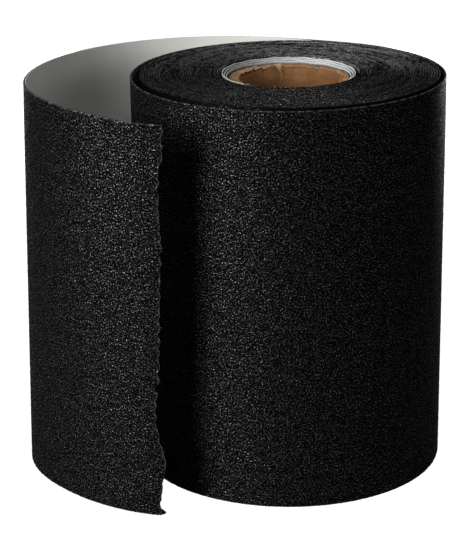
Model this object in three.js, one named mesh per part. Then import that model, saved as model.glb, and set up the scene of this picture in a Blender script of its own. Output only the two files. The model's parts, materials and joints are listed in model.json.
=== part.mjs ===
// A roll of anti-slip grip tape standing on its end: a black mineral-grit tape on a paper liner,
// wound on a cardboard core. The outermost turn is loose, and the free end of the tape has sprung
// open. Seen from above, the tape leaves the roll at its back right, sweeps counter-clockwise
// round the left and ends at the front left. Millimetres, +Z up; the origin is the middle of the
// model's footprint, on the surface that it stands on.
//
// Every strip of tape or liner is worked out in plan and then raised along Z. The plan is drawn
// round the roll's own axis and moved to the origin at the very end.

import * as THREE from 'three';

// Driving dimensions, in millimetres and degrees.

const TAPE_WIDTH = 152.4;
const TAPE_THICKNESS = 0.7;
const GLUE_THICKNESS = 0.1;
const LINER_THICKNESS = 0.2;
const TURN_THICKNESS = TAPE_THICKNESS + GLUE_THICKNESS + LINER_THICKNESS;

const CORE_BORE_RADIUS = 19.05;
const CORE_WALL = 3.7;
const CORE_TOP_RECESS = 3;
const CORE_FOOT_RECESS = 0.5;
const CORE_LIP = 0.8;

const STARTER_THICKNESS = 0.1;
const STARTER_LENGTH = 25;
const STARTER_HEIGHT = 140;

const LEADER_TURNS = 3;
const LEADER_PITCH = 0.7;
const LEADER_THICKNESS = 0.35;
const LEADER_OUTER_RADIUS = 25.6;

const PACK_INNER_RADIUS = 26;
const PACK_OUTER_RADIUS = 57.4;

const LOOSE_TURN_RADIUS = 60.2; // outer face, where the tape leaves the roll
const LOOSE_TURN_PITCH = 1.4; // how far that face comes in over one turn
const LOOSE_TURN_SWEEP = 345;
const LOOSE_TURN_SLACK = 0.9;
const LOOSE_TURN_DROP = 0.8; // the loose turn and the tail stand this much lower than the pack
const LEAVING_ANGLE = 62; // about the roll's axis, from +X

const TAIL_ARCS = [
  { radius: 240, sweep: 7.2 },
  { radius: 75, sweep: 108 },
  { radius: 63, sweep: 84.5 },
];
const TAIL_SEGMENTS = 8;
const SEGMENT_LENGTH = 31; // the last segment is longer and holds the end flap
const END_FLAP_LENGTH = 28;
const HINGE_GAP = 0.8;

const PACK_SIDES = 96;
const LOOSE_TURN_STEPS = 115;
const SEGMENT_STEPS = 8;
const LEADER_STEPS_PER_TURN = 48;

// Finishes.

function finish(color, roughness) {
  return new THREE.MeshStandardMaterial({ color, roughness, metalness: 0 });
}

const grit = finish(0x161617, 0.85);
const liner = finish(0xb9b9b3, 0.6);
const leaderPaper = finish(0xdfe3e2, 0.5);
const cardboard = finish(0x9a6a3f, 0.9);
const adhesive = finish(0xd8cfae, 0.35);

const roll = new THREE.Group();

function addPiece(name, geometry, material) {
  const mesh = new THREE.Mesh(geometry, material);
  mesh.name = name;
  roll.add(mesh);
}

// Paths in plan. A path gives, at a distance along it, a point on the strip's outer face and the
// direction that the face looks in.

function polarPoint(radius, angle) {
  const facing = new THREE.Vector2(Math.cos(angle), Math.sin(angle));
  return { at: facing.clone().multiplyScalar(radius), facing };
}

// The loose turn, by the degrees turned clockwise from where the tape leaves the roll. It comes in
// steadily, and stands away from the pack most on the side opposite the leaving point.
function looseTurnPoint(turned) {
  const slack = LOOSE_TURN_SLACK * Math.sin(Math.PI * turned / 360) ** 2;
  const radius = LOOSE_TURN_RADIUS - LOOSE_TURN_PITCH * turned / 360 + slack;
  return polarPoint(radius, THREE.MathUtils.degToRad(LEAVING_ANGLE - turned));
}

// The leader's turns, by the number of turns from its outer end.
function leaderPoint(turns) {
  return polarPoint(LEADER_OUTER_RADIUS - LEADER_PITCH * turns, 2 * Math.PI * turns);
}

// The free tail, by the distance from where it leaves the roll: arcs that each start in the
// direction in which the one before them ends.
function tailPoint(distance) {
  const start = polarPoint(LOOSE_TURN_RADIUS, THREE.MathUtils.degToRad(LEAVING_ANGLE));
  let { at, facing } = start;
  let left = distance;
  for (const { radius, sweep } of TAIL_ARCS) {
    const length = Math.min(left, arcLength(radius, sweep));
    const centre = at.clone().addScaledVector(facing, -radius);
    facing = facing.clone().rotateAround(new THREE.Vector2(), length / radius);
    at = centre.addScaledVector(facing, radius);
    left -= length;
  }
  return { at, facing };
}

function arcLength(radius, sweep) {
  return radius * THREE.MathUtils.degToRad(sweep);
}

const TAIL_LENGTH = TAIL_ARCS.reduce((sum, arc) => sum + arcLength(arc.radius, arc.sweep), 0);

// A strip standing on edge along a path: its section in plan lies between two depths below the
// outer face, and it is raised from foot to top.
function strip({ path, from, to, steps, outerDepth, innerDepth, foot, top }) {
  const outer = [];
  const inner = [];
  for (let step = 0; step <= steps; step += 1) {
    const { at, facing } = path(THREE.MathUtils.lerp(from, to, step / steps));
    outer.push(at.clone().addScaledVector(facing, -outerDepth));
    inner.unshift(at.clone().addScaledVector(facing, -innerDepth));
  }
  return raised(new THREE.Shape([...outer, ...inner]), foot, top);
}

function raised(shape, foot, top) {
  const geometry = new THREE.ExtrudeGeometry(shape, {
    depth: top - foot,
    bevelEnabled: false,
    curveSegments: PACK_SIDES,
  });
  return geometry.translate(0, 0, foot);
}

// The grit tape and the liner under it share a stretch of path; these are their depths and heights.

const looseTop = TAPE_WIDTH - LOOSE_TURN_DROP;

const TAPE_LAYER = { outerDepth: 0, innerDepth: TAPE_THICKNESS, foot: 0, top: looseTop };
const LINER_LAYER = {
  outerDepth: TAPE_THICKNESS + GLUE_THICKNESS,
  innerDepth: TURN_THICKNESS,
  foot: 0,
  top: looseTop,
};

// The cardboard core: a thick tube whose bore is rounded over at both lips.

function core() {
  const outer = CORE_BORE_RADIUS + CORE_WALL;
  const foot = CORE_FOOT_RECESS;
  const top = TAPE_WIDTH - CORE_TOP_RECESS;
  const profile = [
    [CORE_BORE_RADIUS + CORE_LIP, foot],
    [outer, foot],
    [outer, top],
    [CORE_BORE_RADIUS + CORE_LIP, top],
    [CORE_BORE_RADIUS, top - CORE_LIP],
    [CORE_BORE_RADIUS, foot + CORE_LIP],
    [CORE_BORE_RADIUS + CORE_LIP, foot],
  ];
  const points = profile.map(([radius, height]) => new THREE.Vector2(radius, height));
  return new THREE.LatheGeometry(points, PACK_SIDES).rotateX(Math.PI / 2);
}

addPiece('core_tube', core(), cardboard);

// The sticky strip that holds the start of the leader to the core, in the gap between the two.

function starterPoint(distance) {
  const gap = LEADER_OUTER_RADIUS - LEADER_PITCH * LEADER_TURNS - LEADER_THICKNESS
    - CORE_BORE_RADIUS - CORE_WALL;
  const radius = CORE_BORE_RADIUS + CORE_WALL + (gap + STARTER_THICKNESS) / 2;
  return polarPoint(radius, distance / radius);
}

addPiece(
  'core_starter_strip',
  strip({
    path: starterPoint,
    from: -STARTER_LENGTH / 2,
    to: STARTER_LENGTH / 2,
    steps: SEGMENT_STEPS,
    outerDepth: 0,
    innerDepth: STARTER_THICKNESS,
    foot: (TAPE_WIDTH - STARTER_HEIGHT) / 2,
    top: (TAPE_WIDTH + STARTER_HEIGHT) / 2,
  }),
  adhesive,
);

// The white leader: the bare paper that was wound on before the tape began.

addPiece(
  'leader_turns',
  strip({
    path: leaderPoint,
    from: 0,
    to: LEADER_TURNS,
    steps: LEADER_TURNS * LEADER_STEPS_PER_TURN,
    outerDepth: 0,
    innerDepth: LEADER_THICKNESS,
    foot: CORE_FOOT_RECESS,
    top: TAPE_WIDTH,
  }),
  leaderPaper,
);

// The tight turns of tape and liner, as one ring.

function tightTurns() {
  const shape = new THREE.Shape();
  shape.absarc(0, 0, PACK_OUTER_RADIUS, 0, 2 * Math.PI);
  const eye = new THREE.Path();
  eye.absarc(0, 0, PACK_INNER_RADIUS, 0, 2 * Math.PI, true);
  shape.holes.push(eye);
  return raised(shape, 0, TAPE_WIDTH);
}

addPiece('wound_tape', tightTurns(), grit);

// The loose outermost turn, from just before the leaving point round to just short of it again.

const looseTurn = {
  path: looseTurnPoint,
  from: THREE.MathUtils.radToDeg(HINGE_GAP / 2 / LOOSE_TURN_RADIUS),
  to: LOOSE_TURN_SWEEP,
  steps: LOOSE_TURN_STEPS,
};

addPiece('loose_turn_tape', strip({ ...looseTurn, ...TAPE_LAYER }), grit);
addPiece('loose_turn_liner', strip({ ...looseTurn, ...LINER_LAYER }), liner);

// The free tail, in short stiff lengths that bend where they meet, each with its own liner. The
// last length of tape stops where the end flap, which peels off the liner, begins.

const flapStart = TAIL_LENGTH - END_FLAP_LENGTH;

for (let number = 1; number <= TAIL_SEGMENTS; number += 1) {
  const isLast = number === TAIL_SEGMENTS;
  const from = (number - 1) * SEGMENT_LENGTH + HINGE_GAP / 2;
  const linerEnd = isLast ? TAIL_LENGTH : number * SEGMENT_LENGTH - HINGE_GAP / 2;
  const tapeEnd = isLast ? flapStart - HINGE_GAP / 2 : linerEnd;
  const stretch = { path: tailPoint, from, steps: SEGMENT_STEPS };
  addPiece(`tail_tape_${number}`, strip({ ...stretch, to: tapeEnd, ...TAPE_LAYER }), grit);
  addPiece(`tail_liner_${number}`, strip({ ...stretch, to: linerEnd, ...LINER_LAYER }), liner);
}

addPiece(
  'end_flap',
  strip({
    path: tailPoint,
    from: flapStart + HINGE_GAP / 2,
    to: TAIL_LENGTH,
    steps: SEGMENT_STEPS,
    ...TAPE_LAYER,
  }),
  grit,
);

// Move the middle of the footprint to the origin.

const footprint = new THREE.Box3().setFromObject(roll);
const middle = footprint.getCenter(new THREE.Vector3());
roll.position.set(-middle.x, -middle.y, -footprint.min.z);

export default roll;
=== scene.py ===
# %% [markdown]
# # A roll of grip tape
#
# The object is a roll of wide black anti-slip tape. The tape is a plastic film with mineral grains
# glued to its outside and a sticky coat on its inside, and a pale paper liner covers the sticky
# coat. Tape and liner are wound together on a cardboard core. The outermost turn has gone loose,
# and the free end of the tape has sprung open in a wide curve.
#
# The model's frame, its bodies and its joints are already made. This file puts the visible
# surfaces round them: it starts by loading that frame.

# %% Load the frame
import json

import bpy
import numpy as np
from mathutils import Matrix, Vector


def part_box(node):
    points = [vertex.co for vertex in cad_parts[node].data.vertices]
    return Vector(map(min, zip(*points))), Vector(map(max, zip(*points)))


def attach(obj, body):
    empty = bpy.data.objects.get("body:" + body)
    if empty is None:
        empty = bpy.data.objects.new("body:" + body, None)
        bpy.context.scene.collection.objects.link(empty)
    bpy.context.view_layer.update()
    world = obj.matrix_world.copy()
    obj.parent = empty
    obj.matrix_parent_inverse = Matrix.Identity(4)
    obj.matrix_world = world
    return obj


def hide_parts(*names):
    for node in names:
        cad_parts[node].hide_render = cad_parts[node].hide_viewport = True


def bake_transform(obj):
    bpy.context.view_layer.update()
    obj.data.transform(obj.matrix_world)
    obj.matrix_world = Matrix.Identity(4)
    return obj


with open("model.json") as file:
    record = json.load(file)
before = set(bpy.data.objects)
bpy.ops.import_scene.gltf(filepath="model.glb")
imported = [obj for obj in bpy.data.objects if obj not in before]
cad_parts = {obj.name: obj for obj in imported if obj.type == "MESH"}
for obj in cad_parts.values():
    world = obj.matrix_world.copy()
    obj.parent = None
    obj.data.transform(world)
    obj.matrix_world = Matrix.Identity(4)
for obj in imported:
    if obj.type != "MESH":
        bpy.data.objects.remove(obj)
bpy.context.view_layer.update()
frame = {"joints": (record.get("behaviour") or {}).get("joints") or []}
joints = {joint["name"]: joint for joint in frame["joints"]}

# %% [markdown]
# ## Sizes
#
# Every length below is in metres, so a constant called MM turns a maker's millimetres into the
# scene's unit. The places of the roll's axis and of the bends come from the frame's joints, and
# the heights come from the boxes of its nodes.

# %% Driving sizes
MM = 0.001

AXIS = np.array(joints["unwind_turn"]["pos_m"][:2])
TAPE_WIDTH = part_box("wound_tape")[1][2]
PACK_OUTER = (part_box("wound_tape")[1][0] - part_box("wound_tape")[0][0]) / 2
PACK_INNER = 26 * MM

TAPE_THICKNESS = 0.7 * MM
LINER_THICKNESS = 0.2 * MM
TURN_THICKNESS = 1.0 * MM

LEAVING_ANGLE = np.radians(62)
LOOSE_RADIUS = 60.2 * MM
LOOSE_PITCH = 1.4 * MM
LOOSE_SLACK = 0.9 * MM
LOOSE_SWEEP = np.radians(345)

TAIL_ARCS = ((240 * MM, np.radians(7.2)), (75 * MM, np.radians(108)), (63 * MM, np.radians(84.5)))
TAIL_LENGTH = sum(radius * sweep for radius, sweep in TAIL_ARCS)
LOOSE_LENGTH = LOOSE_RADIUS * LOOSE_SWEEP

GRAIN_STEP = 0.42 * MM

print(f"pack radius {PACK_OUTER:.4f}, tape width {TAPE_WIDTH:.4f}, tail {TAIL_LENGTH:.4f}")

# %% [markdown]
# ## The tape's route
#
# Seen from above, the tape is a line. It comes round the roll as the loose turn, leaves the roll
# at its back right, and then follows three arcs. Each arc starts in the direction in which the one
# before it ends, so the line has no kinks. Distances along it are counted from the leaving point:
# the loose turn has negative ones, and the free tail has positive ones.
#
# A route could also be a Blender curve with a bevel, but then the grains, the hinges and the torn
# end would have to be found again on the finished mesh. With numpy the route is a function, and
# every piece that follows asks it for places.


# %% Route functions
def outward(angle):
    """The unit vector that points away from the roll's axis at an angle: (cos, sin)."""
    return np.stack([np.cos(angle), np.sin(angle)], axis=-1)


def loose_turn(distance):
    """Places and outward directions on the loose turn. Its radius shrinks evenly with the angle
    turned back from the leaving point, plus a slack that is zero at both ends and largest half
    way, as the square of a sine."""
    turned = -distance / LOOSE_RADIUS
    slack = LOOSE_SLACK * np.sin(turned / 2) ** 2
    radius = LOOSE_RADIUS - LOOSE_PITCH * turned / (2 * np.pi) + slack
    facing = outward(LEAVING_ANGLE - turned)
    return AXIS + radius[..., None] * facing, facing


def free_tail(distance):
    """Places and outward directions on the tail. On each arc the direction turns by the length
    covered divided by the radius, and the place is the arc's centre plus radius times direction.
    Past the last arc the tail runs straight on."""
    angle = np.full(distance.shape, LEAVING_ANGLE)
    start = AXIS + LOOSE_RADIUS * outward(LEAVING_ANGLE)
    place = np.broadcast_to(start, distance.shape + (2,)).copy()
    left = distance.copy()
    for radius, sweep in TAIL_ARCS:
        length = np.clip(left, 0, radius * sweep)
        centre = place - radius * outward(angle)
        angle = angle + length / radius
        place = centre + radius * outward(angle)
        left = left - length
    straight_on = left[..., None] * outward(angle + np.pi / 2)
    return place + straight_on, outward(angle)


def route(distance):
    """The whole line: the loose turn up to distance 0, and the tail after it."""
    on_tail = np.asarray(distance, float) > 0
    loose_place, loose_facing = loose_turn(np.minimum(distance, 0.0))
    tail_place, tail_facing = free_tail(np.maximum(distance, 0.0))
    pick = on_tail[..., None]
    return np.where(pick, tail_place, loose_place), np.where(pick, tail_facing, loose_facing)


# %% Are the bends on the route?
bend_names = [name for name in joints if name.startswith("tail_bend_")]
bend_gap = 31 * MM
bend_places = np.array([joints[name]["pos_m"][:2] for name in bend_names])
on_route = route(bend_gap * np.arange(len(bend_names)))
miss = np.abs(on_route[0] - on_route[1] * TURN_THICKNESS / 2 - bend_places).max()
print(f"{len(bend_names)} bends, farthest from the route by {miss / MM:.3f} mm")

# %% [markdown]
# ## Helpers
#
# Nearly every piece here is a closed section carried along a path: a strip of tape has a thin
# upright section, and the core has a ring's section. One function builds them all from an array of
# points, `rings[station, point]`. The faces are worked out for the whole array at once, because a
# Python loop over a hundred thousand corners would take minutes.
#
# Another helper makes noise with a chosen grain size. White noise is taken apart into waves, only
# the waves near the wanted length are kept, and they are put back together. What is left is a maze
# of bumps that are all about the same size, which is what a layer of mineral grains looks like.
# Each noise has a seed of its own, so the roll comes out the same every time.


# %% Sections carried along a path
SHARP_FROM = np.radians(62)  # edges that turn by more than this stay crisp


def put_in_scene(name, mesh, materials):
    """A new object at the origin with this mesh and these materials."""
    for material in materials:
        mesh.materials.append(material)
    piece = bpy.data.objects.new(name, mesh)
    bpy.context.scene.collection.objects.link(piece)
    return piece


def end_faces(points, there_and_back):
    """The faces that close one end of a section. A section that runs up one side and back down
    the other is closed by a ladder of quads, each between two points of equal height. Any other
    flat section is closed by one many-sided face."""
    if not there_and_back:
        return np.arange(points)[None]
    k = np.arange(points // 2 - 1)
    return np.stack([k, k + 1, points - 2 - k, points - 1 - k], axis=-1)


def carried_section(
    name, rings, materials, closed_path=False, there_and_back=False, uv=None, values=None, slots=None
):
    """A closed section carried along a path. rings is (stations, points, 3). Side faces join each
    point to its neighbours at the next station, and both ends are closed unless the path itself
    closes. uv is (stations, points, 2), values maps a name to (stations, points), and slots gives
    the material number of the faces that follow each section point."""
    stations, points = rings.shape[:2]
    first = np.arange(stations if closed_path else stations - 1)
    i, j = np.meshgrid(first, np.arange(points), indexing="ij")
    i_next, j_next = (i + 1) % stations, (j + 1) % points
    corners = [i * points + j, i_next * points + j, i_next * points + j_next, i * points + j_next]
    sides = np.stack(corners, axis=-1).reshape(-1, 4)
    loops = [sides.ravel()]
    starts = [4 * np.arange(len(sides))]
    if not closed_path:
        near = end_faces(points, there_and_back)
        caps = np.concatenate([near, (stations - 1) * points + near[:, ::-1]])
        loops.append(caps.ravel())
        starts.append(4 * len(sides) + caps.shape[1] * np.arange(len(caps)))
    loops, starts = np.concatenate(loops), np.concatenate(starts)

    mesh = bpy.data.meshes.new(name)
    mesh.vertices.add(stations * points)
    mesh.vertices.foreach_set("co", rings.astype(np.float32).ravel())
    mesh.loops.add(len(loops))
    mesh.loops.foreach_set("vertex_index", loops.astype(np.int32))
    mesh.polygons.add(len(starts))
    mesh.polygons.foreach_set("loop_start", starts.astype(np.int32))
    mesh.update(calc_edges=True)
    if uv is not None:
        layer = mesh.uv_layers.new(name="strip")
        layer.data.foreach_set("uv", uv.reshape(-1, 2)[loops].astype(np.float32).ravel())
    for label, value in (values or {}).items():
        made = mesh.attributes.new(label, "FLOAT", "POINT")
        made.data.foreach_set("value", value.astype(np.float32).ravel())
    if slots is not None:
        numbers = np.zeros(len(starts), np.int32)
        numbers[: len(sides)] = np.tile(slots, len(first))
        mesh.polygons.foreach_set("material_index", numbers)
    mesh.polygons.foreach_set("use_smooth", np.ones(len(starts), bool))
    mesh.set_sharp_from_angle(angle=SHARP_FROM)
    mesh.validate()
    return put_in_scene(name, mesh, materials)


# %% Noise with a chosen grain
def wavy_noise(shape, step, wavelength, seed, spread=0.35):
    """Noise whose waves are near one length, with mean 0 and spread 1. White noise is multiplied,
    wave by wave, with a bell curve over the logarithm of wavelength, and transformed back."""
    white = np.random.default_rng(seed).standard_normal(shape)
    per_metre = [np.fft.fftfreq(shape[0], step)[:, None], np.fft.rfftfreq(shape[1], step)[None]]
    ratio = np.maximum(np.hypot(*per_metre) * wavelength, 1e-9)
    kept = np.fft.rfft2(white) * np.exp(-((np.log(ratio) / spread) ** 2))
    field = np.fft.irfft2(kept, s=shape)
    return field / field.std()


def smooth_step(value, low, high):
    """0 below low, 1 above high, and 3t^2 - 2t^3 between them."""
    t = np.clip((value - low) / (high - low), 0, 1)
    return t * t * (3 - 2 * t)


# %% [markdown]
# ## Finishes
#
# Black tape, grey liner, white leader and brown board are all speckled or fibrous at some scale,
# so one node group makes that variation for all of them: a fine noise and a broad noise, mixed to
# one value. Each material sets its own grain sizes and reads the value for its colour, roughness
# and bump. On a strip the pattern is placed by the strip's own UV map, in metres along the tape
# and up its width, so it stays put when the tape bends.


# %% A node group for speckle
FINE_DETAIL, BROAD_DETAIL = 2.0, 4.0


def speckle_group():
    """Inputs: where to read the pattern, how many fine and broad waves per metre, and how much of
    the broad one to mix in. Outputs: the mixed value and the fine noise alone."""
    group = bpy.data.node_groups.new("paper and grit speckle", "ShaderNodeTree")
    add = group.interface.new_socket
    add("Place", in_out="INPUT", socket_type="NodeSocketVector")
    for label, value in (("Fine", 2500.0), ("Broad", 120.0), ("Broad share", 0.4)):
        add(label, in_out="INPUT", socket_type="NodeSocketFloat").default_value = value
    add("Value", in_out="OUTPUT", socket_type="NodeSocketFloat")
    add("Fine value", in_out="OUTPUT", socket_type="NodeSocketFloat")
    nodes, links = group.nodes, group.links
    source, target = nodes.new("NodeGroupInput"), nodes.new("NodeGroupOutput")
    noises = {}
    for label, detail in (("Fine", FINE_DETAIL), ("Broad", BROAD_DETAIL)):
        noise = nodes.new("ShaderNodeTexNoise")
        noise.inputs["Detail"].default_value = detail
        links.new(source.outputs["Place"], noise.inputs["Vector"])
        links.new(source.outputs[label], noise.inputs["Scale"])
        noises[label] = noise
    mix = nodes.new("ShaderNodeMix")
    links.new(source.outputs["Broad share"], mix.inputs["Factor"])
    links.new(noises["Fine"].outputs["Fac"], mix.inputs["A"])
    links.new(noises["Broad"].outputs["Fac"], mix.inputs["B"])
    links.new(mix.outputs["Result"], target.inputs["Value"])
    links.new(noises["Fine"].outputs["Fac"], target.inputs["Fine value"])
    return group


SPECKLE = speckle_group()


# %% [markdown]
# A material is put together by small functions that each add one thing: a place to read from, a
# speckle, a colour ramp or a bump. They return sockets, so that a material reads like a recipe.


# %% Material helpers
class Finish:
    """One material under construction, with its Principled shader at hand."""

    def __init__(self, name, roughness, specular=0.5):
        self.material = bpy.data.materials.new(name)
        self.material.use_nodes = True
        self.nodes, self.links = self.material.node_tree.nodes, self.material.node_tree.links
        self.shader = self.nodes["Principled BSDF"]
        self.shader.inputs["Roughness"].default_value = roughness
        self.shader.inputs["Specular IOR Level"].default_value = specular

    def place(self, on_strip):
        """The pattern's place: the strip's UV map, or the object's own coordinates."""
        if on_strip:
            node = self.nodes.new("ShaderNodeUVMap")
            node.uv_map = "strip"
            return node.outputs["UV"]
        return self.nodes.new("ShaderNodeTexCoord").outputs["Object"]

    def speckle(self, place, fine, broad, share):
        """A speckle group with these grain sizes, as its two outputs."""
        node = self.nodes.new("ShaderNodeGroup")
        node.node_tree = SPECKLE
        self.links.new(place, node.inputs["Place"])
        for label, value in (("Fine", fine), ("Broad", broad), ("Broad share", share)):
            node.inputs[label].default_value = value
        return node.outputs["Value"], node.outputs["Fine value"]

    def ramp(self, value, *stops):
        """A colour ramp through (position, colour) stops."""
        node = self.nodes.new("ShaderNodeValToRGB")
        elements = node.color_ramp.elements
        while len(elements) < len(stops):
            elements.new(0.5)
        for element, (position, colour) in zip(elements, stops, strict=True):
            element.position, element.color = position, (*colour, 1)
        self.links.new(value, node.inputs["Fac"])
        return node.outputs["Color"]

    def range(self, value, low, high, start=0.3, end=0.7):
        """The value's span from start to end, stretched over low to high."""
        node = self.nodes.new("ShaderNodeMapRange")
        self.links.new(value, node.inputs["Value"])
        spans = (("From Min", start), ("From Max", end), ("To Min", low), ("To Max", high))
        for label, number in spans:
            node.inputs[label].default_value = number
        return node.outputs["Result"]

    def mix(self, share, first, second):
        """Two colours mixed by a share from 0 to 1. The Mix node has an A and a B for each kind of
        value, so its colour sockets are picked by number: inputs 6 and 7, and output 2."""
        node = self.nodes.new("ShaderNodeMix")
        node.data_type = "RGBA"
        self.links.new(share, node.inputs["Factor"])
        self.links.new(first, node.inputs[6])
        self.links.new(second, node.inputs[7])
        return node.outputs[2]

    def attribute(self, name):
        """A value that the mesh carries at each point."""
        node = self.nodes.new("ShaderNodeAttribute")
        node.attribute_name = name
        return node.outputs["Fac"]

    def bump(self, height, distance, strength=1.0):
        """Bump from a height value, in metres at full height."""
        node = self.nodes.new("ShaderNodeBump")
        node.inputs["Distance"].default_value = distance
        node.inputs["Strength"].default_value = strength
        self.links.new(height, node.inputs["Height"])
        self.links.new(node.outputs["Normal"], self.shader.inputs["Normal"])

    def feed(self, socket, output):
        """Joins an output to one of the shader's own sockets."""
        self.links.new(output, self.shader.inputs[socket])


# %% [markdown]
# The grit is silicon carbide in black resin. Most of a grain's face is dark and dull, and a few
# facets throw back light as a metal does. So the colour stays near black nearly everywhere, and
# only the speckle's peaks are grey, smoother, metallic and coated. A single grey with more bump
# would light up evenly and look like rubber.
#
# Two values in the mesh change it. Where the tape was cut, `cut` shows its film as a grey line.
# In the narrow gap round the wound turns, a second value paints the grit near black: painted
# shade where that gap lies in shadow.


# %% Grit tape
def grit_finish():
    finish = Finish("black mineral grit", roughness=0.5, specular=0.02)
    finish.shader.inputs["Coat Roughness"].default_value = 0.3
    place = finish.place(on_strip=True)
    value, fine = finish.speckle(place, fine=1750, broad=300, share=0.12)
    stops = ((0.47, 0.0002), (0.535, 0.004), (0.615, 0.065), (0.7, 0.25))
    stone = finish.ramp(value, *((at, (grey, grey, grey)) for at, grey in stops))
    film = finish.ramp(value, (0.38, (0.06, 0.06, 0.06)), (0.66, (0.28, 0.28, 0.28)))
    # Painted shade: near-black grit where the mesh marks the shadowed gap round the wound turns.
    gap_shade = finish.ramp(value, (0.4, (0.0003, 0.0003, 0.0003)), (0.7, (0.004, 0.004, 0.004)))
    shown = finish.mix(finish.attribute("cut"), stone, film)
    finish.feed("Base Color", finish.mix(finish.attribute("painted_gap_shade"), shown, gap_shade))
    finish.feed("Roughness", finish.range(value, 0.62, 0.37, start=0.4, end=0.65))
    finish.feed("Metallic", finish.range(value, 0.0, 0.85, start=0.5, end=0.6))
    finish.feed("Coat Weight", finish.range(value, 0.0, 0.7, start=0.62, end=0.7))
    finish.bump(fine, distance=0.3 * MM, strength=0.8)
    return finish.material


GRIT = grit_finish()

# %% [markdown]
# The back of the tape is its sticky coat: dark, glossy and slightly orange-peeled, from having
# been pressed against the liner. It only shows when the end of the tape is peeled back.


# %% Sticky coat
def sticky_finish():
    finish = Finish("sticky coat", roughness=0.25)
    value, fine = finish.speckle(finish.place(on_strip=True), fine=700, broad=60, share=0.5)
    dark, pale = (0.035, 0.034, 0.032), (0.075, 0.072, 0.064)
    finish.feed("Base Color", finish.ramp(value, (0.35, dark), (0.65, pale)))
    finish.feed("Roughness", finish.range(value, 0.18, 0.4))
    finish.bump(fine, distance=0.08 * MM)
    return finish.material


STICKY = sticky_finish()


# %% [markdown]
# The liner is pale grey paper with a thin silicone coat: nearly even in colour, with a satin
# surface and a faint mottle. The leader inside the roll is plain paper, painted grey-blue below
# the edges of its turns as painted shade between them. The liner is painted near black where it
# faces the roll closely, as painted shade in that narrow gap, and a grey cloud of painted shade
# lies on the tail's inside. The mesh tells where, with a value for the painted shade, and each
# paper has its own shaded colour.


# %% Papers
def paper_finish(name, dark, pale, roughness, on_strip, painted_shade=None):
    """Paper between two tones. Where the mesh carries painted shade, it takes a third, shaded tone.
    """
    finish = Finish(name, roughness=roughness, specular=0.35)
    value, fine = finish.speckle(finish.place(on_strip), fine=1800, broad=45, share=0.7)
    paper = finish.ramp(value, (0.35, dark), (0.65, pale))
    # Painted shade: a darker copy of the paper's tones, where the mesh marks it as in shadow.
    if painted_shade:
        wear_and_painted_shade = finish.ramp(value, (0.35, painted_shade), (0.65, tuple(1.6 * tone for tone in painted_shade)))
        paper = finish.mix(finish.attribute("painted_shade"), paper, wear_and_painted_shade)
    finish.feed("Base Color", paper)
    finish.feed("Roughness", finish.range(value, roughness - 0.06, roughness + 0.08))
    finish.bump(fine, distance=0.03 * MM, strength=0.5)
    return finish.material


# The liner's shaded tone is near black: painted shade for the gap and the tail's inside.
LINER = paper_finish(
    "release liner", (0.57, 0.57, 0.54), (0.65, 0.65, 0.615), 0.5, True, painted_shade=(0.006, 0.006, 0.007)
)
# Painted shade: the liner between the tight turns is a near-black copy of the liner, for the
# shadowed gaps.
SHADED_LINER_EDGE = paper_finish("liner edge painted in shade", (0.02, 0.02, 0.02), (0.08, 0.08, 0.08), 0.7, True)
# The leader's shaded tone is grey-blue: painted shade between its turns.
LEADER = paper_finish(
    "leader paper", (0.44, 0.46, 0.46), (0.60, 0.61, 0.59), 0.55, False, painted_shade=(0.07, 0.09, 0.11)
)
GLUE = paper_finish("starter strip", (0.60, 0.55, 0.40), (0.72, 0.67, 0.52), 0.35, False)

# %% [markdown]
# The core is kraft board: long brown fibres with darker flecks. They lie round the tube rather
# than up it, so the pattern is squeezed along the height before it is read.


# %% Kraft board
def kraft_finish():
    finish = Finish("kraft board", roughness=0.85, specular=0.25)
    stretch = finish.nodes.new("ShaderNodeMapping")
    stretch.inputs["Scale"].default_value = (1.0, 1.0, 3.5)
    finish.links.new(finish.place(on_strip=False), stretch.inputs["Vector"])
    value, fine = finish.speckle(stretch.outputs["Vector"], fine=1500, broad=110, share=0.55)
    dark, mid, pale = (0.105, 0.044, 0.013), (0.15, 0.066, 0.023), (0.205, 0.096, 0.037)
    board = finish.ramp(value, (0.3, dark), (0.5, mid), (0.7, pale))
    torn = finish.ramp(value, (0.3, (0.26, 0.16, 0.088)), (0.7, (0.47, 0.34, 0.21)))
    finish.feed("Base Color", finish.mix(finish.attribute("torn"), board, torn))
    finish.bump(fine, distance=0.12 * MM)
    return finish.material


KRAFT = kraft_finish()
print("finishes:", ", ".join(m.name for m in bpy.data.materials))

# %% [markdown]
# ## The tape: loose turn and tail
#
# The whole outside of the tape is one grid, `distance` along it and `share` of the height up it,
# with a grain relief worked out for all of it at once. Each piece of tape is then a slice of that
# grid. Two neighbours share their last and first columns, so the grain runs on across every joint.
#
# The grains stand out of the film by about a tenth of a millimetre, flattened at their tops by
# the hyperbolic tangent, because a roller has pressed them in.

# %% The tape's grid
columns = int(round((LOOSE_LENGTH + TAIL_LENGTH) / GRAIN_STEP))
distance = np.linspace(-LOOSE_LENGTH, TAIL_LENGTH, columns + 1)
rows = int(round(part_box("loose_turn_tape")[1][2] / GRAIN_STEP))
share = np.linspace(0, 1, rows + 1)

grid_shape = (len(distance), len(share))
grain = wavy_noise(grid_shape, GRAIN_STEP, 1.25 * MM, seed=11)
clumps = wavy_noise(grid_shape, GRAIN_STEP, 3.2 * MM, seed=12)
relief = (0.09 * np.tanh(1.3 * grain) + 0.03 * clumps) * MM
print(f"tape grid {relief.shape}, relief {relief.min() / MM:.2f} to {relief.max() / MM:.2f} mm")

# %% [markdown]
# A web that has sprung open does not stand dead square. The free tail has settled: its upper edge
# drops towards the free end. Where it leaves the roll it still clings to it, and where it springs
# furthest out its foot stands out more than its head. Both depend on the distance along the
# tape, so the grit and the liner follow them alike.


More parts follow.
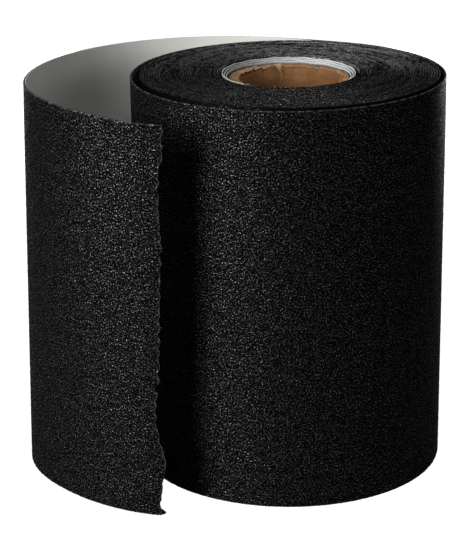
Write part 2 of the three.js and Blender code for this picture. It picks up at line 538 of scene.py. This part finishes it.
# %% How the tape stands
def top_of(at):
    """The height of the upper edge: a little under the pack's on the loose turn, and lower by
    smooth steps towards the free end, most of all over the last few centimetres."""
    on_loose = 0.3 * MM * np.sin(np.clip(-at / LOOSE_LENGTH, 0, 1) * np.pi) ** 2
    behind = 0.25 * MM * smooth_step(at, 0, 0.05) * (1 - smooth_step(at, 0.09, 0.15))
    settled = 1.6 * MM * smooth_step(at, 0.2, TAIL_LENGTH)
    corner = 1.1 * MM * smooth_step(at, TAIL_LENGTH - 0.035, TAIL_LENGTH)
    return TAPE_WIDTH - 0.75 * MM - on_loose - behind - settled - corner


def lean_of(at, up):
    """How far the tape stands out of its route. At its inner end and where it leaves, it still
    lies close to the roll. Where the tail springs most, its head leans in and its foot stands
    out. Nearer to the free end the foot is drawn in again, and the upper corner turns out. The
    head's amount counts by the share of the height, and the foot's by one minus that share."""
    inner_end = 0.4 * (1 - smooth_step(at, -0.345, -0.30))
    drawn_in = smooth_step(at, -0.23, -0.02) * (1 - smooth_step(at, 0.03, 0.10))
    head = 1.2 * smooth_step(at, 0.09, 0.165) * (1 - smooth_step(at, 0.185, 0.25))
    turning = smooth_step(at, 0.178, 0.225)
    foot = 2.5 * smooth_step(at, 0.09, 0.165) * (1 - turning)
    foot = foot - 0.9 * turning * (1 - smooth_step(at, 0.235, 0.262))
    head = head - 0.75 * smooth_step(at, 0.238, TAIL_LENGTH)
    return MM * (-inner_end - 1.45 * drawn_in - head * up + foot * (1 - up))


def strip_points(at, up, depth, recess=0.0):
    """Points at these distances, shares of the height and depths below the outer face. A recess
    makes the strip that much narrower than the tape."""
    place, facing = route(at)
    out = lean_of(at, up) - depth
    flat = place + facing * out[..., None]
    return np.concatenate([flat, (up * (top_of(at) - recess))[..., None]], axis=-1)


# %% [markdown]
# The free end was cut off freehand, so it is not square: the cut starts a little long at the top
# and ends short at the foot, with a bite below the middle and a nub left at the very foot. A few
# points give that line, and noise adds the small chips that a blade makes in stone. The columns
# of the last piece are squeezed towards the cut, more and more as they near it, which keeps the
# grain unbroken.

# %% The ragged end
# Each row gives a height above the floor and how much of the tape is missing there, in
# millimetres. A negative amount is tape left over.
CUT_LINE = (
    (0.0, 3.0),
    (1.0, 1.0),
    (2.6, 3.6),
    (9.3, 2.7),
    (12.5, 2.4),
    (21.5, 0.9),
    (25.0, 1.6),
    (29.9, 3.1),
    (38.4, 4.5),
    (45.0, 4.2),
    (48.0, 3.7),
    (51.2, 4.0),
    (55.0, 2.9),
    (99.0, 1.3),
    (102.4, 0.9),
    (104.5, 1.5),
    (106.0, 0.5),
    (110.9, 1.0),
    (126.8, 1.4),
    (136.5, 0.95),
    (138.0, 0.2),
    (140.0, -0.5),
    (143.5, -0.4),
    (149.0, -0.4),
    (152.4, -1.2),
)
CUT_STEPS = 1024
CUT_SEED = 31


def ragged_end(up, seed):
    """How much is missing at the free end, by share of the height: the cut line, with chips of
    about 2 mm and of about 6 mm in noise."""
    height, missing = np.array(CUT_LINE).T
    at = np.linspace(0, 1, CUT_STEPS)
    step = TAPE_WIDTH / CUT_STEPS
    chips = 0.08 * wavy_noise((1, CUT_STEPS), step, 1.9 * MM, seed, spread=0.8)[0]
    bites = 0.22 * wavy_noise((1, CUT_STEPS), step, 6 * MM, seed + 1)[0]
    line = np.interp(up * TAPE_WIDTH / MM, height, missing)
    return MM * (line + np.interp(up, at, chips + bites))


def pulled_in(at, start, up):
    """Distances of the last piece, squeezed so that its far end follows the ragged edge: each
    moves by the square of its share of the way, times what is missing at its height."""
    return at - ragged_end(up, CUT_SEED) * ((at - start) / (TAIL_LENGTH - start)) ** 2


# %% [markdown]
# The bends are joints of the model: between two of them the tape is stiff, and at each of them it
# turns. A visible piece therefore runs from the middle of one stiff length to the middle of the
# next, with the joint between them inside it. The loose turn does not bend, and four pieces of it
# keep each mesh small.

# %% Where the pieces begin and end
END_FLAP_LENGTH = 28 * MM
peel_at = TAIL_LENGTH - END_FLAP_LENGTH
middles = bend_gap * (np.arange(len(bend_names)) + 0.5)
middles[-1] = (bend_gap * (len(bend_names) - 1) + peel_at) / 2
loose_parts = 4
loose_cuts = np.linspace(-LOOSE_LENGTH, -bend_gap / 2, loose_parts + 1)
cuts = np.concatenate([loose_cuts, middles, [TAIL_LENGTH]])
cut_columns = np.searchsorted(distance, cuts - GRAIN_STEP / 2)
print("tape is cut at (mm):", np.round(distance[cut_columns] / MM, 1))

bodies = ["loose_turn"] + [f"tail_{n + 1}" for n in range(len(bend_names))]


def place_on_route(at):
    """A point half way up the tape and half way through it."""
    spot, facing = route(np.array([at]))
    flat = spot[0] - facing[0] * TURN_THICKNESS / 2
    return (float(flat[0]), float(flat[1]), float(TAPE_WIDTH / 2))


def bend_ends(n):
    """Where piece n of the tail starts and stops, half way up the tape. Only the first piece starts
    at its joint, because before it the tape lies on the roll."""
    starts_at = distance[cut_columns[loose_parts + n]] if n else 0.0
    return place_on_route(starts_at), place_on_route(distance[cut_columns[loose_parts + n + 1]])


# %% [markdown]
# One length of tape is a section with the grained outside going up and the sticky back going
# down. Its cut edges show the film, in patches of a few millimetres: a little more along the top
# of the tail than elsewhere, and unevenly down the ragged end.

# %% One length of tape
FILM_AT_FOOT, FILM_AT_TOP, FILM_ON_TAIL = 0.2, 0.22, 0.1
BACK_ROWS = 6

wear_noise = wavy_noise((1, len(distance)), GRAIN_STEP, 5 * MM, seed=34, spread=0.8)[0]
edge_film = FILM_AT_TOP + FILM_ON_TAIL * smooth_step(distance, 0, 0.1)
edge_wear = np.clip(edge_film * (1 + 0.7 * wear_noise), 0, 1)


def tape_piece(name, first, last, ragged=False):
    """One length of tape, from one column of the grid to another. A ragged piece needs as many
    points on its back as on its front, so that the cut end can be closed between them."""
    at, up = np.meshgrid(distance[first : last + 1], share, indexing="ij")
    back_up = share[::-1] if ragged else share[:: -(rows // BACK_ROWS)]
    back_at, back_share = np.meshgrid(distance[first : last + 1], back_up, indexing="ij")
    if ragged:
        at = pulled_in(at, distance[first], up)
        back_at = pulled_in(back_at, distance[first], back_share)
    front = strip_points(at, up, -relief[first : last + 1])
    back = strip_points(back_at, back_share, np.full(back_at.shape, TAPE_THICKNESS))
    rings = np.concatenate([front, back], axis=1)
    all_at = np.concatenate([at, back_at], axis=1)
    all_up = np.concatenate([up, back_share], axis=1)
    uv = np.stack([all_at, all_up * TAPE_WIDTH], axis=-1)
    cut = np.zeros(all_at.shape)
    cut[:, [0, -1]] = FILM_AT_FOOT
    cut[:, [rows, rows + 1]] = edge_wear[first : last + 1, None]
    if ragged:
        bright = wavy_noise((1, rings.shape[1]), GRAIN_STEP, 4 * MM, seed=33, spread=0.8)[0]
        cut[-1] = np.clip(0.12 + 0.3 * bright, 0, 1)
    slots = np.zeros(rings.shape[1], np.int32)
    slots[rows + 1 : -1] = 1
    return carried_section(
        name,
        rings,
        [GRIT, STICKY],
        there_and_back=ragged,
        uv=uv,
        values={"cut": cut},
        slots=slots,
    )


# %% The grit tape's pieces
tape_pieces = []
for n in range(loose_parts):
    piece = tape_piece(f"loose_grit_{n + 1}", cut_columns[n], cut_columns[n + 1])
    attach(piece, "loose_turn")
    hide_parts("loose_turn_tape")
    tape_pieces.append(piece)

for n in range(len(bend_names)):
    first, last = cut_columns[loose_parts + n], cut_columns[loose_parts + n + 1]
    piece = tape_piece(f"tail_grit_{n + 1}", first, last)
    start, end = bend_ends(n)
    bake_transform(piece)
    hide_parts(f"tail_tape_{n + 1}")
    tape_pieces.append(piece)

PEEL_BEND = 10 * MM
flap = tape_piece("end_flap_grit", cut_columns[-2], cut_columns[-1], ragged=True)
flap_start, flap_end = distance[cut_columns[-2]], peel_at + PEEL_BEND
place_on_route(flap_start)
place_on_route(flap_end)
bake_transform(flap)
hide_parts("end_flap")
tape_pieces.append(flap)
print("tape pieces:", len(tape_pieces), "faces:", sum(len(p.data.polygons) for p in tape_pieces))

# %% [markdown]
# ## The liner
#
# The liner lies on the sticky coat, so it follows the same route a little deeper. It is smooth, so
# a coarse grid is enough: every third column of the tape's grid, and a few rows. Only the ragged
# end needs more rows, to follow the cut.
#
# Its upper edge is not quite the tape's. On the loose turn it has slipped down out of sight,
# where the tape leaves the roll it comes level with the tape and a hair above it, and towards the
# free end it drops a little again.
#
# Two kinds of painted shade are written into the mesh: near black where the liner faces the
# roll across the narrow gap, and a grey cloud on the tail's inside, which is weakest along the
# upper edge and strongest where the tail curves most.

# %% The liner's painted shade and edge
LINER_DEPTH = 0.72 * MM
CURVES_MOST_AT, CLOUD_LENGTH = 0.122, 0.022


def liner_recess(at):
    """How much narrower the liner is than the tape: on the loose turn, on most of the tail, and
    near the free end."""
    slipped = 1.3 * (1 - smooth_step(at, -0.01, 0.03))
    return MM * (slipped + 0.35 * smooth_step(at, 0.17, 0.2) - 0.08)


def liner_painted_shade(at, up):
    """Painted shade: black in the gap, or a grey bell-curve cloud along the tape, whichever is more.
    """
    gap_shade = smooth_step(up, 0.78, 0.9) * (1 - smooth_step(at, -0.02, 0.015))
    bell = np.exp(-(((at - CURVES_MOST_AT) / CLOUD_LENGTH) ** 2))
    cloud = 0.13 + 0.3 * bell * smooth_step(up, 0.6, 0.8)
    cloud = cloud * (1 - smooth_step(up, 0.88, 0.985)) * smooth_step(at, 0.02, 0.06)
    return np.maximum(gap_shade, cloud)


# %% The liner's pieces
LINER_ROWS, RAGGED_ROWS, LINER_COLUMNS = 25, 180, 3


def liner_piece(name, first, last, ragged=False):
    """One length of liner, as thick paper: outer side up, inner side down."""
    stations = np.unique(np.append(np.arange(first, last, LINER_COLUMNS), last))
    heights = np.linspace(0, 1, RAGGED_ROWS if ragged else LINER_ROWS)
    at, up = np.meshgrid(distance[stations], heights, indexing="ij")
    if ragged:
        longer = 0.1 * MM * smooth_step(at, distance[first], TAIL_LENGTH)
        at = pulled_in(at, distance[first], up) + longer
    sides = []
    for depth, flip in ((LINER_DEPTH, 1), (LINER_DEPTH + LINER_THICKNESS, -1)):
        points = strip_points(at, up, np.full(at.shape, depth), recess=liner_recess(at))
        sides.append(points[:, ::flip])
    rings = np.concatenate(sides, axis=1)
    all_at = np.concatenate([at, at[:, ::-1]], axis=1)
    all_up = np.concatenate([up, up[:, ::-1]], axis=1)
    uv = np.stack([all_at, all_up * TAPE_WIDTH], axis=-1)
    # The liner's painted shade, as a value at each point.
    values = {"painted_shade": liner_painted_shade(all_at, all_up)}
    return carried_section(name, rings, [LINER], there_and_back=True, uv=uv, values=values)


liner_pieces = []
for n in range(loose_parts):
    piece = liner_piece(f"loose_liner_{n + 1}", cut_columns[n], cut_columns[n + 1])
    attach(piece, "loose_turn")
    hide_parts("loose_turn_liner")
    liner_pieces.append(piece)

for n in range(len(bend_names)):
    first, last = cut_columns[loose_parts + n], cut_columns[loose_parts + n + 1]
    piece = liner_piece(f"tail_liner_sheet_{n + 1}", first, last)
    start, end = bend_ends(n)
    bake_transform(piece)
    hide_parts(f"tail_liner_{n + 1}")
    liner_pieces.append(piece)

piece = liner_piece("tail_liner_sheet_end", cut_columns[-2], cut_columns[-1], ragged=True)
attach(piece, bodies[-1])
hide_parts(f"tail_liner_{len(bend_names)}")
liner_pieces.append(piece)
print("liner pieces:", len(liner_pieces))

# %% [markdown]
# ## The tight turns
#
# Under the loose turn the tape is wound tightly, about thirty times. A plain ring with painted
# circles would look right from far away, but every turn really is an edge standing next to
# another edge. So this is the true thing: one strip carried along a spiral, with a second, thinner
# strip for the liner in the gap. The edges are uneven, because the tape was slit by a knife that
# chews through stone: each one rises and falls a little, and some turns stand proud.
#
# A spiral's length grows as its radius, so stations spread evenly over its angle would crowd
# together near the core. The length is summed up first, and the stations are read off it at
# equal distances.


# %% A spiral
def spiral(start_radius, pitch, turns, step, start_angle):
    """Places, outward directions and lengths along a spiral that winds inwards clockwise: the
    radius falls by one pitch each turn, and the stations are a fixed length apart."""
    fine = np.linspace(0, turns, 20000)
    radius = start_radius - pitch * fine
    length = np.concatenate([[0], np.cumsum((radius[1:] + radius[:-1]) * np.pi * np.diff(fine))])
    stations = np.arange(0, length[-1], step)
    turned = np.interp(stations, length, fine)[::-1]
    facing = outward(start_angle - 2 * np.pi * turned)
    radius = (start_radius - pitch * turned)[:, None]
    return AXIS + radius * facing, facing, stations[::-1], turned


def wound_strip(name, path, profile, material, values=None):
    """A section carried along a spiral. profile is (stations, points, 2): depth below the outer
    face and height."""
    place, facing, length, _ = path
    flat = place[:, None] - facing[:, None] * profile[..., :1]
    rings = np.concatenate([flat, profile[..., 1:]], axis=-1)
    along = np.broadcast_to(length[:, None], profile.shape[:2])
    uv = np.stack([along, profile[..., 1] + profile[..., 0]], axis=-1)
    return carried_section(name, rings, [material], uv=uv, values=values)


# %% The pack's spiral
edge_step = 0.5 * MM
pack_turns = (PACK_OUTER - PACK_INNER) / TURN_THICKNESS - 0.9
pack_start = LEAVING_ANGLE - LOOSE_SWEEP
pack_path = spiral(PACK_OUTER, TURN_THICKNESS, pack_turns, edge_step, pack_start)
stations = len(pack_path[2])
turned_from_outside = pack_path[3]
print(f"tight turns: {pack_turns:.1f} turns, {pack_path[2][0]:.2f} m of tape in {stations} steps")

# %% [markdown]
# A turn's section has six points: the foot of its outer face, four across its upper edge, and
# the foot of its inner face. The edge is highest about two thirds of the way in, and falls off
# towards the stone on one side and the sticky coat on the other. The film is on the inner side
# of the edge, so `cut` is strongest there. It comes and goes along the tape: in patches of a few
# millimetres, and more slowly over stretches of a few centimetres. The outermost turn lines a
# narrow gap, and its grit there is painted near black, as painted shade for the shadowed gap.

# %% The turns' edges
EDGE_POINTS = ((0.35, 0.07), (0.12, 0.06), (0.0, 0.04), (0.08, 0.05))  # fall and roughness, mm
FILM_BY_POINT = np.array([0.0, 0.2, 0.85])

chips = wavy_noise((6, stations), edge_step, 1.5 * MM, seed=21, spread=0.6)
per_turn = wavy_noise((1, 40), 1, 4, seed=22, spread=1.0)[0]
proud = np.interp(turned_from_outside, np.arange(40), per_turn)
crest = TAPE_WIDTH - MM * (0.3 - 0.07 * proud)
depths = np.array([0, 0, 0.2, 0.45, 0.66, 0.70]) * MM
profile = np.zeros((stations, len(depths), 2))
profile[..., 0] = depths
for point, (fall, rough) in enumerate(EDGE_POINTS, 1):
    profile[:, point, 0] += 0.04 * MM * chips[point]
    profile[:, point, 1] = crest - MM * (fall + rough * chips[point + 1])
wear_and_painted_shade = wavy_noise((3, stations), edge_step, 7 * MM, seed=23, spread=0.8)
by_turn = wavy_noise((1, stations), edge_step, 60 * MM, seed=24, spread=0.8)
cut = np.zeros((stations, len(depths)))
cut[:, 2:5] = FILM_BY_POINT * np.clip(0.55 + (0.25 * wear_and_painted_shade + 0.3 * by_turn).T, 0, 1)
# Painted shade: the outermost turn's outer face and edge line the shadowed gap, so they are painted
# near black.
painted_gap_shade = np.zeros((stations, len(depths)))
painted_gap_shade[:, :3] = (1 - smooth_step(turned_from_outside, 0.6, 1.3))[:, None] * (1.0, 1.0, 0.8)

# %% The tight turns' pieces
halves = (slice(0, stations // 2 + 1), slice(stations // 2, stations))
tight_tape = [
    wound_strip(
        f"tight_turns_{label}",
        [part[half] for part in pack_path],
        profile[half],
        GRIT,
        {"cut": cut[half], "painted_gap_shade": painted_gap_shade[half]},
    )
    for label, half in zip(("inner", "outer"), halves, strict=True)
]

# The liner's strip in the tight turns uses the liner painted near black: painted shade in the gaps.
LINER_BELOW_CREST = 1.1 * MM
liner_path = [part[::2] for part in pack_path]
liner_profile = np.zeros((len(liner_path[2]), 4, 2))
liner_profile[..., 0] = np.array([0.76, 0.76, 0.92, 0.92]) * MM
liner_profile[:, 1:3, 1] = (crest[::2] - LINER_BELOW_CREST)[:, None]
tight_liner = wound_strip("tight_turns_liner", liner_path, liner_profile, SHADED_LINER_EDGE)

for piece in (*tight_tape, tight_liner):
    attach(piece, "roll")
    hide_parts("wound_tape")
print("tight turns' faces:", [len(piece.data.polygons) for piece in (*tight_tape, tight_liner)])

# %% [markdown]
# ## The leader
#
# Before the tape starts, about three turns of bare white paper are wound on the core. Seen from
# above they step down towards the core, each turn about half a millimetre below the one outside
# it, and all of them stand a little lower at the front. The paper's outer end dips, where the
# tape was laid over it. Below its edge the paper is painted grey-blue, as painted shade between
# the turns, so its rows of points crowd together near the edge, where that tone has to end in a
# thin white line.

# %% Leader
leader_low, leader_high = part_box("leader_turns")
LEADER_OUTER = 25.6 * MM
LEADER_PITCH = 0.78 * MM
LEADER_SHEET = 0.24 * MM
LEADER_TURNS = 2.95
LEADER_STEP = 0.8 * MM
leader_path = spiral(LEADER_OUTER, LEADER_PITCH, LEADER_TURNS, LEADER_STEP, np.radians(-90))
_, leader_facing, leader_length, leader_turned = leader_path
leader_stations = len(leader_length)

wave = 0.06 * MM * wavy_noise((1, leader_stations), LEADER_STEP, 12 * MM, seed=41)[0]
below = 0.55 * MM * leader_turned + 0.24 * MM * (1 - leader_facing[:, 1])
below += 0.7 * MM * (1 - smooth_step(leader_turned, 0, 0.16))
leader_top = (leader_high[2] - 0.15 * MM - below + wave)[:, None]

row_heights = np.array([0, 0.5, 0.97, 0.994, 0.998, 1])
up_and_down = np.append(row_heights, row_heights[::-1])
leader_profile = np.zeros((leader_stations, len(up_and_down), 2))
leader_profile[:, len(row_heights) :, 0] = LEADER_SHEET
leader_profile[..., 1] = leader_low[2] + up_and_down * (leader_top - leader_low[2])
# Painted shade: the whole sheet below its upper edge takes the leader's shaded grey-blue.
painted_shade = np.tile(1 - smooth_step(up_and_down, 0.994, 1), (leader_stations, 1))
leader = wound_strip("leader_sheet", leader_path, leader_profile, LEADER, {"painted_shade": painted_shade})
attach(leader, "roll")
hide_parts("leader_turns")
print("leader stands", leader_top.min(), "to", leader_top.max())

# %% [markdown]
# ## The cardboard core
#
# The core is a tube of brown board wound from strips. Its upper rim was torn when it was cut to
# length: the rim is uneven, its lip is fluffy and paler, and one strip of the inmost layer hangs
# into the bore. The tube is a section carried round a circle. The section has many points on the
# rim and on the inner wall, and noise moves them up, down and inwards. The seam of the inmost
# strip is a low step that winds down the wall, made from a steepened cosine.

# %% Core
core_low, core_high = (np.array(corner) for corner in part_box("core_tube"))
CORE_OUTER = (core_high[0] - core_low[0]) / 2
CORE_BORE = 19.05 * MM
ring_steps = 540
round_angle = np.linspace(0, 2 * np.pi, ring_steps, endpoint=False)

rim_step = 2 * np.pi * CORE_BORE / ring_steps
tear = wavy_noise((4, ring_steps), rim_step, 5 * MM, seed=51, spread=0.8)
nibble = wavy_noise((4, ring_steps), rim_step, 1.1 * MM, seed=52)


def hollow(angle, width):
    """A bell curve round the rim, centred on an angle in degrees: 1 in its middle and 0 beyond a
    few widths."""
    away = np.angle(np.exp(1j * (round_angle - np.radians(angle))))
    return np.exp(-((away / np.radians(width)) ** 2))


# %% [markdown]
# The rim is told point by point, from the outside in. At one place, on the left, the lip has a
# short deep dent, and on the right the inmost layers are frayed away over a wide stretch. Just
# under the lip the board is slightly undercut, which gives the torn edge a shadow.

# %% The core's section
DENT_ANGLE, DENT_WIDTH, DENT_DEPTH = 171, 3.5, 1.5 * MM
FRAY_ANGLE, FRAY_WIDTH = -8, 55
WALL_POINTS = 22
WALL_BELOW_LIP = 1.4 * MM
TORN_BY_POINT = np.array([0.35, 0.35, 0.2, 0.25, 0.45, 0.2])

rim = core_high[2] + MM * (0.07 * tear[0] + 0.06 * nibble[0] + 0.6)
dent = DENT_DEPTH * hollow(DENT_ANGLE, DENT_WIDTH)
lip = rim + MM * (0.08 * tear[1] + 0.07 * nibble[1] - 0.1) - dent
frayed = MM * (0.15 + 1.5 * hollow(FRAY_ANGLE, FRAY_WIDTH))
section = [
    (CORE_OUTER, core_low[2] + 0 * rim),
    (CORE_OUTER, rim - 0.5 * MM),
    (CORE_OUTER - 0.35 * MM, rim),
    (CORE_OUTER - 1.2 * MM, rim - 0.1 * MM + 0.14 * MM * nibble[2]),
    (CORE_OUTER - 2.1 * MM, rim - 0.2 * MM + 0.16 * MM * nibble[3]),
    (CORE_BORE + 0.3 * MM + frayed, lip),
    (CORE_BORE + 0.08 * nibble[1] * MM + frayed, lip - 0.3 * MM),
    (CORE_BORE + 0.2 * MM + frayed, lip - 0.7 * MM),
    (CORE_BORE + 0.2 * MM + 0.8 * frayed, lip - 1.1 * MM),
]
for share_up in np.linspace(1, 0, WALL_POINTS):
    seam = 0.05 * MM * np.tanh(6 * np.cos(round_angle - 60 * share_up * TAPE_WIDTH))
    height = core_low[2] + share_up * (lip - WALL_BELOW_LIP - core_low[2])
    section.append((CORE_BORE + seam, height))

# %% The core's piece
rings = np.empty((ring_steps, len(section), 3))
torn = np.zeros((ring_steps, len(section)))
torn[:, 1:7] = TORN_BY_POINT
for k, (radius, height) in enumerate(section):
    rings[:, k, :2] = AXIS + outward(round_angle) * np.broadcast_to(radius, ring_steps)[:, None]
    rings[:, k, 2] = height
core = carried_section("core_board", rings, [KRAFT], closed_path=True, values={"torn": torn})
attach(core, "roll")
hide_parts("core_tube")
print(f"core bore {2 * CORE_BORE / MM:.1f} mm, rim from {rim.min():.4f} to {rim.max():.4f} m")

# %% [markdown]
# The torn strip is a narrow tongue of board. It starts on the rim, folds over the lip and hangs
# down the wall, getting narrower and curling away from it. It is a section again: a thin
# rectangle carried down a short curve. The curve is given at three places, the root on the rim,
# the fold at the lip and the tip, and the section's two long sides lie a board's layer apart.

# %% Torn strip
TONGUE_ANGLE = np.radians(100)
TONGUE_THICKNESS = 0.3
ROOT_FOLD_TIP = (0, 0.35, 1)
down = np.linspace(0, 1, 15)
tongue_out = CORE_BORE + MM * np.interp(down, ROOT_FOLD_TIP, (2.4, 0.3, -1.0))
tongue_height = rim.mean() + MM * np.interp(down, ROOT_FOLD_TIP, (0.35, 0.1, -2.8))
tongue_width = MM * (1.45 * (1 - down) ** 0.8 + 0.1)
across = (-1, -0.4, 0.3, 1)
outline = [(a, 0.0) for a in across] + [(a, TONGUE_THICKNESS) for a in across[::-1]]
side = np.array([-np.sin(TONGUE_ANGLE), np.cos(TONGUE_ANGLE)])
rings = np.empty((len(down), len(outline), 3))
for k, (half, thick) in enumerate(outline):
    curl = 0.5 * MM * half
    out = (tongue_out - curl - thick * MM)[:, None] * outward(TONGUE_ANGLE)
    sway = (half * tongue_width + MM * (0.5 - 1.2 * down))[:, None] * side
    rings[:, k, :2] = AXIS + out + sway
    rings[:, k, 2] = tongue_height
strip_values = {"torn": np.ones(rings.shape[:2]) * (1.0 - 0.2 * down[:, None])}
tongue = carried_section("core_torn_strip", rings, [KRAFT], values=strip_values)
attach(tongue, "roll")
print(f"torn strip hangs to {tongue_height.min():.4f} m")

# %% [markdown]
# The starter strip is hidden between the core and the leader. Its node already has the right
# shape, so it keeps its mesh and only gets a finish.

# %% Starter strip
starter_finishes = bpy.data.objects["core_starter_strip"].data.materials
starter_finishes.clear()
starter_finishes.append(GLUE)
print("starter strip finish:", starter_finishes[0].name)

# %% [markdown]
# ## Camera, floor and light
#
# The camera stands in front of the roll, twice as high as the roll and looking down on it, with a
# long lens, so that the upright edges lean in only slightly. It is tilted sideways by less than a
# degree. Its own three directions are worked out first and then put into a matrix as columns:
# right, up, and backwards, because a camera looks along its negative Z.

# %% Camera
CAMERA_PLACE = np.array([AXIS[0] - 21.8 * MM, AXIS[1] - 706.6 * MM, 312.2 * MM])
CAMERA_PITCH = 0.32867
CAMERA_ROLL = -0.01286
LENS_MM, SENSOR_MM = 125.1, 36
NEAREST = 0.01

ahead = np.array([0, np.cos(CAMERA_PITCH), -np.sin(CAMERA_PITCH)])
level_right, level_up = np.array([1.0, 0, 0]), np.array([0, -ahead[2], ahead[1]])
right = np.cos(CAMERA_ROLL) * level_right + np.sin(CAMERA_ROLL) * level_up
camera_up = np.cos(CAMERA_ROLL) * level_up - np.sin(CAMERA_ROLL) * level_right
camera_data = bpy.data.cameras.new("camera")
camera_data.lens = LENS_MM
camera_data.sensor_width = SENSOR_MM
camera_data.clip_start = NEAREST
camera = bpy.data.objects.new("camera", camera_data)
turn = Matrix(np.column_stack([right, camera_up, -ahead]).tolist()).to_4x4()
camera.matrix_world = Matrix.Translation(CAMERA_PLACE.tolist()) @ turn
bpy.context.scene.collection.objects.link(camera)
bpy.context.scene.camera = camera
print("camera to roll:", round(float(np.hypot(*(CAMERA_PLACE[:2] - AXIS))), 3), "m")

# %% [markdown]
# The floor is one pale sheet that also fills the background. To the camera it is lit from within,
# like a light table, so it stays white right up to the object. To everything else it is plain
# matt board, which throws back only the light that falls on it: a glowing floor would mirror in
# every grain and turn the black tape grey. The Light Path node tells the two apart.


# %% Floor
def floor_finish():
    finish = Finish("pale floor", roughness=0.9, specular=0.1)
    value, _ = finish.speckle(finish.place(on_strip=False), fine=30, broad=2, share=0.5)
    tones = ((0.3, (0.12, 0.12, 0.12)), (0.7, (0.15, 0.15, 0.15)))
    finish.feed("Base Color", finish.ramp(value, *tones))
    glow = finish.nodes.new("ShaderNodeEmission")
    both = finish.nodes.new("ShaderNodeAddShader")
    seen = finish.nodes.new("ShaderNodeLightPath")
    finish.links.new(seen.outputs["Is Camera Ray"], glow.inputs["Strength"])
    finish.links.new(finish.shader.outputs["BSDF"], both.inputs[0])
    finish.links.new(glow.outputs["Emission"], both.inputs[1])
    finish.links.new(both.outputs["Shader"], finish.nodes["Material Output"].inputs["Surface"])
    return finish.material


FLOOR_HALF = 4.0
floor_corners = np.array([[-1, -1, 0], [1, -1, 0], [1, 1, 0], [-1, 1, 0]]) * FLOOR_HALF
floor_mesh = bpy.data.meshes.new("floor")
floor_mesh.from_pydata(floor_corners.tolist(), [], [(0, 1, 2, 3)])
floor = put_in_scene("floor", floor_mesh, [floor_finish()])
print("floor reaches", 2 * FLOOR_HALF, "m across")

# %% [markdown]
# One large soft lamp, the key, stands at the front left and is the main light. It brings out the
# grains on the roll's left half and lets the tail shade the roll next to it. A weak lamp on the
# right keeps that side from going black. One above draws the upper end. A long low strip behind
# the roll lights the back of the tape, and is too low to reach the roll's upper end. The room
# itself is almost dark: black tape looks grey wherever something pale is mirrored in it.
#
# The view transform is set to Standard, because the softer default would grey the white floor.


# %% Light
ROOM_GLOW = 0.03


def soft_lamp(name, place, size, power, target):
    """A square area lamp that looks at a target. Places are in metres, and power is in watts."""
    data = bpy.data.lights.new(name, "AREA")
    data.size, data.energy = size, power
    lamp = bpy.data.objects.new(name, data)
    facing = (Vector(place) - Vector(target)).to_track_quat("Z", "Y").to_matrix()
    lamp.matrix_world = Matrix.Translation(place) @ facing.to_4x4()
    bpy.context.scene.collection.objects.link(lamp)
    return lamp


roll_middle = (float(AXIS[0]), float(AXIS[1]), float(TAPE_WIDTH / 2))
soft_lamp("key lamp", (-1.38, -1.27, 0.74), 1.0, 59, roll_middle)
soft_lamp("side lamp", (1.6, -0.5, 0.5), 0.8, 1.2, roll_middle)
soft_lamp("top lamp", (0.25, -0.2, 1.3), 0.6, 8, roll_middle)
low_strip = soft_lamp("low back strip", (0.05, 0.75, 0.04), 1.0, 7, (0.05, 0.0, 0.04))
low_strip.data.shape = "RECTANGLE"
low_strip.data.size_y = 0.07
print("lamps:", ", ".join(light.name for light in bpy.data.lights))

# %% Room
world = bpy.data.worlds.new("white room")
world.use_nodes = True
world.node_tree.nodes["Background"].inputs["Color"].default_value = (1, 1, 1, 1)
world.node_tree.nodes["Background"].inputs["Strength"].default_value = ROOM_GLOW
bpy.context.scene.world = world
bpy.context.scene.view_settings.view_transform = "Standard"
